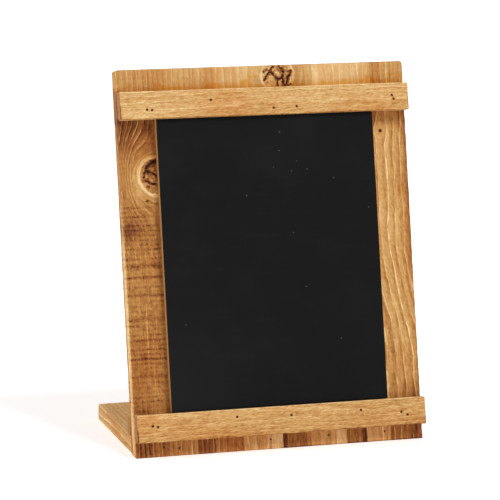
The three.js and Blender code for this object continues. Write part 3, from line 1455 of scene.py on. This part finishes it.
    def pooled(self, g: Graph, place: Wire, seen: Sequence[Fastener]) -> Value:
        """Finds the ring round each hole in the front, where the stain has pooled.

        Args:
            g: The material's graph.
            place: The pattern's place.
            seen: The fasteners that are driven in through the front.

        Returns:
            The rings as a mask.
        """
        across, _, along = g.split(place)
        flat = g.join(across, 0.0, along)
        rings: Value = 0.0
        for fastener in seen:
            head = self.from_setting(fastener.setting) @ fastener.placing().translation - self.middle()
            spot = [Vector(axis).dot(head) for axis in self.grain.value]
            away = g.distance(flat, (spot[0], 0.0, spot[2])) - fastener.radius()
            rings = g.largest(rings, g.step(away, 1.0, 0.3))
        return rings

    def warped(self, g: Graph, place: Wire) -> Wire:
        """Bends the grain as a whole, where the piece's grain isn't straight."""
        return place

    def extra_tone(self, g: Graph, place: Wire) -> Value:
        """Gives this piece's own light and dark places, added to its tone."""
        return (g.noise(place, 60.0, stretch=(1, 1, 2), offset=self.seed) - 0.5) * 0.16

    def grain_strength(self, g: Graph, place: Wire) -> tuple[Value, Value]:
        """Says how strongly the growth rings and the fine fibres show at each place."""
        return self.finish.contrast, self.finish.fine

    def saw_strength(self, g: Graph, place: Wire) -> Value:
        """Says how strongly the saw's marks show at each place."""
        return self.finish.saw

    def tinted(self, g: Graph, colour: Wire, place: Wire, edges: dict[str, Wire]) -> Wire:
        """Warms the colour in patches, where the stain soaked in more, and at the ends.

        Args:
            g: The material's graph.
            colour: The wood's colour so far.
            place: The pattern's place.
            edges: The piece's edge masks.

        Returns:
            The warmer colour.
        """
        soaked = g.noise(place, 34.0, stretch=(1, 1, 2.4), detail=3.0, offset=12.0 + self.seed)
        warm = g.blend(g.step(soaked, 0.48, 0.72) * 0.4, colour, srgb(238, 190, 130), "MULTIPLY")
        return g.blend(edges["End"] * 0.3, warm, srgb(150, 104, 84), "MULTIPLY")


# ---- The back board ------------------------------------------------------------------------------

Edge = tuple[float, float]  # where a patch fades out, and where it is full


@dataclass(frozen=True)
class Patch:
    """A lighter or darker place on the board, with soft edges.

    Attributes:
        tone: What it adds to the tone.
        across: Its edges across the board, in millimetres from the middle.
        up: Its edges up the board, in millimetres from the bottom.
        front: Whether it is on the front only.
    """

    tone: float
    across: tuple[Edge, ...] = ()
    up: tuple[Edge, ...] = ()
    front: bool = True


LEFT, RIGHT = (-96.0, -110.0), (96.0, 110.0)
BETWEEN_RAILS = ((30.0, 50.0), (332.0, 318.0))
PATCHES = (
    Patch(-0.03, (LEFT,), BETWEEN_RAILS, front=False),
    Patch(0.1, (RIGHT,), BETWEEN_RAILS, front=False),
    Patch(-0.06, ((134.0, 142.0),), BETWEEN_RAILS, front=False),
    # Above the top rail.
    Patch(0.1, (), ((336.0, 346.0),)),
    # Painted shade close under the top rail, over darker stain at the left, and at the board's edge beside
    # the rail.
    Patch(-0.17, (LEFT,), ((268.0, 316.0), (324.0, 318.0))),
    Patch(-0.16, (RIGHT,), ((288.0, 318.0), (324.0, 318.0))),
    Patch(-0.14, ((-139.0, -141.5),), ((312.0, 318.0), (352.0, 346.0)), front=False),
    # Below the left-hand knot, at the board's edge.
    Patch(-0.16, (LEFT, (-116.0, -134.0)), ((199.0, 215.0), (231.0, 215.0)), front=False),
    # Close above the bottom rail, at the right.
    Patch(-0.1, ((122.0, 134.0),), ((74.0, 40.0),), front=False),
)
# The height of each dark row that the saw tore, and how dark it is.
SAW_LINES = ((182.6, 0.26), (172.0, 0.22), (155.0, 0.25), (132.5, 0.2), (111.7, 0.12), (94.7, 0.14),
             (78.7, 0.12))
# The left edge of each width of the board, in millimetres from the middle, and its tone.
UPPER_WIDTHS = ((-144, -0.04), (-97, 0.0), (-48, 0.06), (1, 0.0), (31, -0.02), (50, 0.15), (82, 0.09),
                (108, -0.06), (128, -0.08))
LOWER_WIDTHS = ((-144, -0.2), (-128, -0.12), (-112, -0.05), (-83, -0.22), (-66, -0.1), (-38, 0.08),
                (-10, 0.22), (2, -0.3), (6, -0.1), (30, 0.04), (50, 0.24), (66, -0.14), (81, -0.28),
                (86, 0.14), (111, -0.14), (134, -0.22))


@dataclass
class BackBoard(Timber):
    """The wide sawn board, with its bottom end cut level to stand on the table.

    Attributes:
        knot_place: The middle of the paler wood round the left-hand knot.
        streak_place: How far across the board a pale streak below that knot is.
        widened: How far across the board the middle of the widest grain is.
        widening: What share wider the grain is there.
    """

    knot_place: tuple[float, float] = (-110.0, 262.0)
    streak_place: float = -126.0
    widened: float = 126.0
    widening: float = 0.36

    def blank_corners(self) -> tuple[Vector, Vector]:
        """Starts the blank below the table, so that the level cut leaves it whole.

        Returns:
            The blank's lowest and highest corners.
        """
        slant = (self.high.y - self.low.y) * math.tan(self.setting.lean)
        spare = 2 * slant + self.finish.corner + self.finish.arris
        return self.low - Vector((0, 0, spare)), self.high.copy()

    def slanting_cuts(self, mesh: bmesh.types.BMesh) -> None:
        """Cuts the bottom end level with the table.

        Args:
            mesh: The mesh to cut.
        """
        inwards = self.setting.matrix().inverted()
        up = (inwards.to_3x3() @ Vector((0, 0, 1))).normalized()
        trim(mesh, inwards @ Vector((0, self.setting.origin[1], 0)), up)

    def spot(self, g: Graph, place: Wire) -> tuple[Wire, Wire, Wire, Wire]:
        """Says where on the board a place is.

        Args:
            g: The material's graph.
            place: The pattern's place from the board's middle.

        Returns:
            The place across from the middle, through from the middle and up from the bottom, and a
            mask for the front.
        """
        x, depth, z = g.split(place)
        return x, depth, z + self.middle().z, g.step(depth, 2.0, -4.0)

    @staticmethod
    def below_knot(g: Graph, x: Wire, height: Wire) -> Wire:
        """Finds the torn wood below the knot at the left, where it reaches higher at the edge."""
        return g.step(height + (x + 126.0) * 0.9, 244.0, 218.0)

    def extra_tone(self, g: Graph, place: Wire) -> Value:
        """Gives the board its light and dark widths, its patches with painted shade under the top rail, its
        torn rows and a painted highlight on its left flank.

        Args:
            g: The material's graph.
            place: The pattern's place from the board's middle.

        Returns:
            What is added to the tone.
        """
        x, depth, height, front = self.spot(g, place)
        wobble = (g.noise(place, 30.0, stretch=(1, 1, 4), detail=1.0, offset=3.3) - 0.5) * 1.6
        upper, lower = (self.widths(g, x + wobble, table) for table in (UPPER_WIDTHS, LOWER_WIDTHS))
        tone = g.between(g.step(height, 70.0, 26.0) * front, upper, lower)
        for patch in PATCHES:
            masks = [g.step(x, *edge) for edge in patch.across] + [g.step(height, *edge) for edge in patch.up]
            tone = tone + g.product(*masks, *([front] if patch.front else [])) * patch.tone
        for level, darkness in SAW_LINES:
            torn = g.noise(place, 1.6, stretch=(1.3, 1.2, 1), detail=3.0, offset=level, roughness=0.7)
            row = g.near(height - x * 0.01, level, 2.5) * front * g.step(x, 20.0, -40.0)
            tone = tone - row * (g.step(torn, 0.36, 0.6) * 0.8 + 0.2) * darkness
        left = g.step(x, *LEFT)
        mottled = g.noise(place, 4.6, stretch=(1.2, 1, 1), detail=4.0, offset=6.1, roughness=0.7)
        tone = tone - left * self.below_knot(g, x, height) * front * g.step(mottled, 0.4, 0.7) * 0.13
        streak = g.near(x + wobble, self.streak_place, 0.9)
        tone = tone + streak * g.step(height, 90.0, 100.0) * g.step(height, 150.0, 138.0) * 0.22
        knot_x, knot_height = self.knot_place
        away = g.distance(g.join(x, 0.0, height), (knot_x, 0.0, knot_height))
        tone = tone + left * g.step(away, 34.0, 15.0) * 0.17
        # A painted highlight on the front half of the board's left flank, below the knot.
        flank = g.step(x, -143.2, -143.8) * g.step(depth, 3.0, 0.5)
        tone = tone + flank * g.step(height, 262.0, 190.0) * 0.32
        return tone + (g.noise(place, 36.0, stretch=(1, 1, 2.2), detail=3.0, offset=2.6) - 0.5) * 0.2

    def widths(self, g: Graph, x: Wire, table: Sequence[tuple[float, float]]) -> Wire:
        """Gives each width of the board its own tone, with a crisp line between them.

        Args:
            g: The material's graph.
            x: The place across the board, in millimetres from the middle.
            table: The left edge of each width, and its tone.

        Returns:
            The tone, where 0 changes nothing.
        """
        half = self.high.x
        stops = [((edge + half) / (2 * half), (0.5 + tone,) * 3 + (1.0,)) for edge, tone in table]
        return g.ramp((x + half) / (2 * half), stops, sharp=True) - 0.5

    def grain_strength(self, g: Graph, place: Wire) -> tuple[Value, Value]:
        """Lets the rings show least where the saw has torn them up, and most at the smooth right.

        Args:
            g: The material's graph.
            place: The pattern's place.

        Returns:
            The strengths of the rings and of the fine fibres.
        """
        x, _, height, front = self.spot(g, place)
        torn = g.step(x, -90.0, -112.0) * self.below_knot(g, x, height) * g.step(height, 20.0, 50.0)
        smooth = g.step(x, 90.0, 108.0) * front
        top = g.step(height, 336.0, 350.0) * front
        beside_knot = g.step(x, -100.0, -112.0) * g.step(torn, 1.0, 0.0)
        flowing = beside_knot * (0.12 - g.near(height, 264.0, 34.0) * 0.47)
        return (1.0 - torn * 0.7 - top * 0.4 + smooth * 0.2 + flowing,
                1.0 - torn * 0.4 - smooth * 0.1 - top * 0.25)

    def saw_strength(self, g: Graph, place: Wire) -> Value:
        """Lets the saw's marks show most on the lower left.

        Args:
            g: The material's graph.
            place: The pattern's place.

        Returns:
            The strength.
        """
        x, _, height, _ = self.spot(g, place)
        torn = g.step(x, -60.0, -112.0) * self.below_knot(g, x, height)
        return (torn * 1.3 + 0.3) * g.step(height, 24.0, 50.0) + g.step(height, 330.0, 346.0) * 0.2 + 0.1

    def tinted(self, g: Graph, colour: Wire, place: Wire, edges: dict[str, Wire]) -> Wire:
        """Turns the colour yellower above the top rail and redder under the bottom rail.

        Args:
            g: The material's graph.
            colour: The wood's colour so far.
            place: The pattern's place.
            edges: The piece's edge masks.

        Returns:
            The warmer colour.
        """
        warm = super().tinted(g, colour, place, edges)
        _, depth, height, _ = self.spot(g, place)
        ragged = (g.noise(place, 7.0, stretch=(2, 1, 1), detail=3.0, offset=6.6) - 0.5) * 10.0
        reach = g.step(g.noise(place, 16.0, offset=9.6), 0.45, 0.7) * 9.0
        soaked = g.step(height + ragged - reach, 354.0, 346.0) * g.step(height, 330.0, 345.0)
        soaked = soaked * g.step(depth, 0.0, -6.0)
        warm = g.blend(soaked * 0.9, warm, srgb(255, 224, 150), "MULTIPLY")
        return g.blend(g.step(height, 30.0, 12.0) * 0.3, warm, srgb(250, 196, 160), "MULTIPLY")

    def warped(self, g: Graph, place: Wire) -> Wire:
        """Lets the grain at the right stand wider, and run outwards towards the bottom.

        Args:
            g: The material's graph.
            place: The place that the grain is drawn at.

        Returns:
            The place moved sideways.
        """
        x, depth, z = g.split(place)
        _, _, height, front = self.spot(g, place)
        out = g.step(height, 192.0, 84.0) * g.step(x, 40.0, 108.0) * 11.0
        wide = g.product(g.step(x, 92.0, 106.0), front, g.step(height, 20.0, 42.0),
                         g.step(height, 338.0, 318.0))
        return g.join(x - out - (x - self.widened) * wide * self.widening, depth, z)


@dataclass
class LevelTimber(Timber):
    """The foot or the cleat: a level piece behind the board, planed to the board's lean in front."""

    side_stain: float = 0.14

    def blank_corners(self) -> tuple[Vector, Vector]:
        """Starts the blank further forward, so that the slanting cut leaves it whole."""
        return self.low - Vector((0, self.high.z, 0)), self.high.copy()

    def outline_axis(self) -> int:
        """Gives the upright axis, because the outline is seen from above."""
        return 2

    def extra_tone(self, g: Graph, place: Wire) -> Value:
        """Darkens the sides, which soaked up more stain."""
        across, half = g.math("ABSOLUTE", g.split(place)[0]), self.half_size()[0]
        return super().extra_tone(g, place) - g.step(across, half - 1.0, half - 0.4) * self.side_stain

    def slanting_cuts(self, mesh: bmesh.types.BMesh) -> None:
        """Planes the front to the board's lean."""
        backwards = Vector((0, math.cos(LEANING.lean), -math.sin(LEANING.lean)))
        trim(mesh, Vector((0, self.low.y, self.low.z)), backwards)


# ---- The chalkboard panel ------------------------------------------------------------------------


@dataclass(frozen=True)
class ChalkFinish:
    """Matt black chalkboard paint on fibreboard, with a little chalk dust, and brown edges.

    Attributes:
        name: The finish's name.
        slot: The record's material slot.
        paint: The clean paint.
        dusty: The paint where it is wiped with chalk.
        chalk: The specks of chalk.
        edges: The dark and the light fibres at the edges.
        specks: Each speck's place across and up the panel, and its radius.
    """

    name: str = "Chalkboard paint on fibreboard"
    slot: str = "chalk_paint"
    paint: Colour = srgb(20, 20, 21)
    dusty: Colour = srgb(34, 35, 36)
    chalk: Colour = srgb(150, 147, 140)
    edges: tuple[Colour, Colour] = (srgb(168, 112, 60), srgb(226, 176, 116))
    specks: tuple[tuple[float, float, float], ...] = (
        (-23.5, 243.3, 0.6), (12.6, 302.8, 0.5), (11.2, 285.0, 0.5), (22.4, 265.0, 0.45),
        (38.2, 266.1, 0.5), (28.4, 274.2, 0.4), (4.8, 269.4, 0.4), (64.6, 256.6, 0.5),
        (-90.4, 123.5, 0.5), (98.5, 227.0, 0.5), (21.0, 205.9, 0.45), (31.0, 153.6, 0.5),
        (63.6, 102.1, 0.5),
    )

    def material(self, middle: Vector, size: Vector) -> bpy.types.Material:
        """Builds the painted face and the brown edges.

        Args:
            middle: The sheet's middle in the leaning setting.
            size: The sheet's size.

        Returns:
            The material.
        """
        material, g, shader = new_material(self.name)
        place = LEANING.pattern(g, Grain.UPRIGHT, middle)
        x, depth, z = g.split(place)
        stipple = g.noise(place, 0.7, detail=3.0)
        clouds = g.noise(place, 70.0, detail=4.0, offset=4.0)
        wiped = g.noise(place, 9.0, stretch=(5, 1, 0.6), detail=4.0, offset=2.0, roughness=0.65)
        dust = g.step(clouds, 0.42, 0.75) * 0.6 + g.step(wiped, 0.5, 0.85) * 0.5
        corner = g.step(x, 0.0, -size.x / 2) * g.step(z, 0.0, -size.z / 2)
        black = g.blend(dust * 0.5 + corner * 0.4, self.paint, self.dusty)
        marks = self.marked(g, place, middle)
        face = g.blend(marks * 0.5, black, self.chalk)
        fibre = g.noise(place, 1.2, stretch=(1, 0.25, 6), detail=3.0, offset=6.0)
        ragged = g.noise(place, 2.5, detail=3.0, offset=8.0) * 0.7
        from_face = depth + size.y / 2
        painted = g.step(from_face + ragged - 0.35, 0.9, 0.5) * g.step(from_face, 1.15, 0.65)
        g.feed(shader.inputs["Base Color"], g.blend(painted, g.blend(fibre, *self.edges), face))
        g.feed(shader.inputs["Roughness"], 0.78 + stipple * 0.14 + dust * 0.06)
        shader.inputs["Specular IOR Level"].default_value = 0.1
        bumped(g, shader, stipple * 0.7 + marks * 0.6, depth=0.06, strength=0.6)
        return material

    def marked(self, g: Graph, place: Wire, middle: Vector) -> Value:
        """Finds the grit in the paint and the specks of chalk on it.

        Args:
            g: The material's graph.
            place: The pattern's place.
            middle: The sheet's middle in the leaning setting.

        Returns:
            The grit and the specks as a mask.
        """
        marks: Value = g.step(g.noise(place, 1.0, offset=9.0), 0.78, 0.84) * 0.25
        x, _, z = g.split(place)
        flat = g.join(x, 0.0, z)
        for across, up, radius in self.specks:
            away = g.distance(flat, (across - middle.x, 0.0, up - middle.z))
            marks = g.largest(marks, g.step(away, radius * 1.3, radius * 0.3))
        return marks


@dataclass
class ChalkPanel:
    """A sheet of fibreboard, brown at its edges, with matt black chalkboard paint on its face."""

    node: str = "chalkboard_panel"
    finish: ChalkFinish = ChalkFinish()
    corner: float = 0.8
    arris: float = 0.45
    pitch: float = 4.0
    wave: float = 26.0
    relief: float = 0.09

    def build(self) -> None:
        """Cuts the sheet, paints it and hands it over."""
        low, high = LEANING.box(self.node)
        mesh = rounded_block(low, high, 1, self.corner, self.arris)
        for axis in (0, 2):
            slice_up(mesh, axis, spaced(low[axis], high[axis], self.pitch))
        mesh.normal_update()
        for vertex in mesh.verts:
            lump = 0.5 + 0.5 * noise.noise(vertex.co / self.wave)
            vertex.co -= vertex.normal * (self.relief * lump)
        made = finished(self.node + "_made", mesh, LEANING.matrix())
        hand_over(made, self.node, self.finish.material((low + high) / 2, high - low), self.finish.slot)


# ---- The studio ----------------------------------------------------------------------------------


@dataclass(frozen=True)
class Studio:
    """A pale floor, two soft lamps, white light all round, and the camera.

    Attributes:
        floor_size: The floor's side, in metres.
        floor_drop: How far the floor lies under the stand, in metres.
        floor_glow: How brightly the floor glows, so that it stays pale.
        fill: The strength of the light all round.
        lamps: Each lamp's name, the way towards it, its strength, and its softness in degrees.
        lens: The camera's focal length.
        sensor: The width of its sensor.
        sideways: How far to the left of the stand's front it stands, in degrees.
        downwards: How far it looks down, in degrees.
        roll: How far it is rolled, in degrees.
        distance: How far it stands from its target, in millimetres.
        target: What it looks at, in the level setting.
    """

    floor_size: float = 60.0
    floor_drop: float = 0.0002
    floor_glow: float = 0.33
    fill: float = 0.42
    lamps: tuple[tuple[str, tuple[float, float, float], float, float], ...] = (
        ("key", (0.5, -0.77, 1.19), 1.7, 16.0),
        ("side", (-0.8, 0.45, 0.75), 1.4, 30.0),
    )
    lens: float = 203.0
    sensor: float = 36.0
    sideways: float = 16.624
    downwards: float = 10.989
    roll: float = -0.281
    distance: float = 2656.4
    target: tuple[float, float, float] = (-32.70, 0.0, 195.21)

    def build(self) -> None:
        """Sets up the floor, the lights and the camera."""
        scene = bpy.context.scene
        scene.view_settings.view_transform = "Standard"
        self.lay_floor()
        self.light_world(scene)
        self.hang_lamps(scene)
        self.set_camera(scene)

    def lay_floor(self) -> None:
        """Lays a plain pale floor under the stand."""
        mesh = bmesh.new()
        bmesh.ops.create_grid(mesh, x_segments=1, y_segments=1, size=self.floor_size / 2)
        floor = finished("floor", mesh, Matrix.Translation((0, 0, -self.floor_drop)))
        material, _, shader = new_material("Pale floor")
        shader.inputs["Base Color"].default_value = (0.9, 0.9, 0.9, 1)
        shader.inputs["Roughness"].default_value = 0.9
        shader.inputs["Emission Color"].default_value = (1, 1, 1, 1)
        shader.inputs["Emission Strength"].default_value = self.floor_glow
        floor.data.materials.append(material)

    def light_world(self, scene: bpy.types.Scene) -> None:
        """Surrounds the stand with soft white light, and shows plain white behind it.

        Args:
            scene: The scene that is lit.
        """
        world = bpy.data.worlds.new("Studio")
        world.use_nodes = True
        g = Graph(world.node_tree)
        behind = Wire(g, g.node("LightPath").outputs["Is Camera Ray"])
        background = world.node_tree.nodes["Background"]
        background.inputs["Color"].default_value = (1, 1, 1, 1)
        g.feed(background.inputs["Strength"], g.between(behind, self.fill, 1.0))
        scene.world = world

    def hang_lamps(self, scene: bpy.types.Scene) -> None:
        """Hangs the soft lamps.

        Args:
            scene: The scene that is lit.
        """
        for name, way, strength, softness in self.lamps:
            lamp = bpy.data.lights.new(name, "SUN")
            lamp.energy, lamp.angle = strength, math.radians(softness)
            hung = bpy.data.objects.new(name, lamp)
            hung.rotation_euler = Vector(way).to_track_quat("Z", "Y").to_euler()
            scene.collection.objects.link(hung)

    def set_camera(self, scene: bpy.types.Scene) -> None:
        """Places the camera in front, to the left of and a little above the stand.

        Args:
            scene: The scene that the camera looks at.
        """
        turn, pitch, roll = (math.radians(a) for a in (self.sideways, self.downwards, self.roll))
        right = Vector((math.cos(turn), -math.sin(turn), 0))
        ahead = Vector((math.sin(turn) * math.cos(pitch), math.cos(turn) * math.cos(pitch), -math.sin(pitch)))
        up = Vector((math.sin(turn) * math.sin(pitch), math.cos(turn) * math.sin(pitch), math.cos(pitch)))
        rolled = math.cos(roll) * right - math.sin(roll) * up
        upright = math.sin(roll) * right + math.cos(roll) * up
        axes = Matrix((rolled, upright, -ahead)).transposed().to_4x4()
        data = bpy.data.cameras.new("camera")
        data.lens, data.sensor_width, data.sensor_fit = self.lens, self.sensor, "HORIZONTAL"
        camera = bpy.data.objects.new("camera", data)
        aim = LEVEL.matrix() @ Vector(self.target)
        camera.matrix_world = Matrix.Translation(aim - ahead * self.distance * MM) @ axes
        scene.collection.objects.link(camera)
        scene.camera = camera


# ---- The stand -----------------------------------------------------------------------------------

TOP_KNOT = Knot(across=16.0, along=358.0, radius=15.0, flow=1.25, tone=0.68, cracks=(
    Crack(1.0, ((12.3, 366.5), (8.6, 361.8), (2.4, 353.6))),
    Crack(1.2, ((8.6, 361.8), (17.3, 354.0))),
    Crack(0.8, ((5.7, 363.7), (2.4, 361.4))),
    Crack(2.2, ((20.2, 363.9), (20.6, 362.6))),
    Crack(0.7, ((18.1, 367.2), (18.4, 365.8))),
    Crack(1.3, ((20.6, 362.6), (21.9, 360.5), (21.5, 355.5), (22.3, 347.6))),
    Crack(1.0, ((17.3, 354.0), (21.9, 356.3))),
    Crack(0.7, ((17.3, 353.5), (15.7, 351.3), (16.1, 347.6))),
    Crack(0.8, ((29.7, 361.8), (25.6, 360.5))),
    Crack(1.3, ((29.7, 360.0), (26.4, 355.5), (24.8, 348.5))),
    Crack(0.9, ((22.3, 347.6), (28.9, 348.5))),
))
STILE_KNOT = Knot(across=-107.0, along=266.0, radius=16.0, flow=1.35, tone=0.45, cracks=(
    Crack(1.5, ((-109.0, 280.6), (-114.0, 278.6), (-118.0, 274.4))),
    Crack(0.7, ((-118.0, 274.4), (-120.6, 270.0), (-121.6, 265.0))),
    Crack(0.8, ((-119.0, 270.5), (-114.0, 270.0), (-109.0, 266.5))),
    Crack(0.6, ((-120.0, 262.0), (-115.0, 259.0), (-109.0, 258.5))),
    Crack(0.8, ((-121.0, 242.9), (-115.5, 241.0), (-109.0, 240.3))),
))
PIN_KNOT = Knot(across=112.6, along=300.6, radius=1.7, flow=2.4, tone=0.16)


def nodes_named(start: str) -> list[str]:
    """Lists the frame nodes whose names start with some words, in order."""
    return sorted(name for name in frame["nodes"] if name.startswith(start))


@dataclass
class Stand:
    """The whole stand: its timber, its panel and what holds them together."""

    def build(self) -> None:
        """Builds every piece in order."""
        inwards, upwards, forwards = (0, 1, 0), (0, 0, 1), (0, -1, 0)
        top = [Brad(name, LEANING, inwards) for name in nodes_named("top_rail_brad")]
        bottom = [Brad(name, LEANING, inwards) for name in nodes_named("bottom_rail_brad")]
        foot = [Brad(name, LEVEL, inwards) for name in nodes_named("foot_brad")]
        up = [Screw(name, LEVEL, upwards) for name in nodes_named("foot_screw")]
        through = [Screw(name, LEVEL, forwards) for name in nodes_named("cleat_screw")]
        steel, zinc = BROWNED.material(), PASSIVATED.material()
        for brad in (*top, *bottom, *foot):
            brad.build(steel)
        for screw in (*up, *through):
            screw.build(zinc)
        BackBoard("back_board", LEANING, Grain.UPRIGHT, SAWN, heart=(10.0, 70.0), skew=0.05,
                  knots=(TOP_KNOT, STILE_KNOT, PIN_KNOT)).build([*top, *bottom, *foot, *through])
        Timber("top_rail", LEANING, Grain.SIDEWAYS, PLANED, heart=(9.0, 16.0), seed=1.0).build(top, top)
        Timber("bottom_rail", LEANING, Grain.SIDEWAYS, PLANED, heart=(-14.0, 20.0), seed=2.4,
               paler=-0.06).build(bottom, bottom)
        ChalkPanel().build()
        LevelTimber("foot", LEVEL, Grain.BACKWARDS, SAWN, heart=(-40.0, 60.0), skew=0.1, seed=3.7,
                    paler=0.22).build([*foot, *up])
        LevelTimber("cleat", LEVEL, Grain.SIDEWAYS, PLANED, heart=(6.0, 24.0),
                    seed=5.2).build([*up, *through])


def main() -> None:
    """Builds the studio and the stand."""
    logging.basicConfig(level=logging.INFO, format="%(name)s: %(message)s")
    Studio().build()
    Stand().build()


if __name__ == "__main__":
    main()
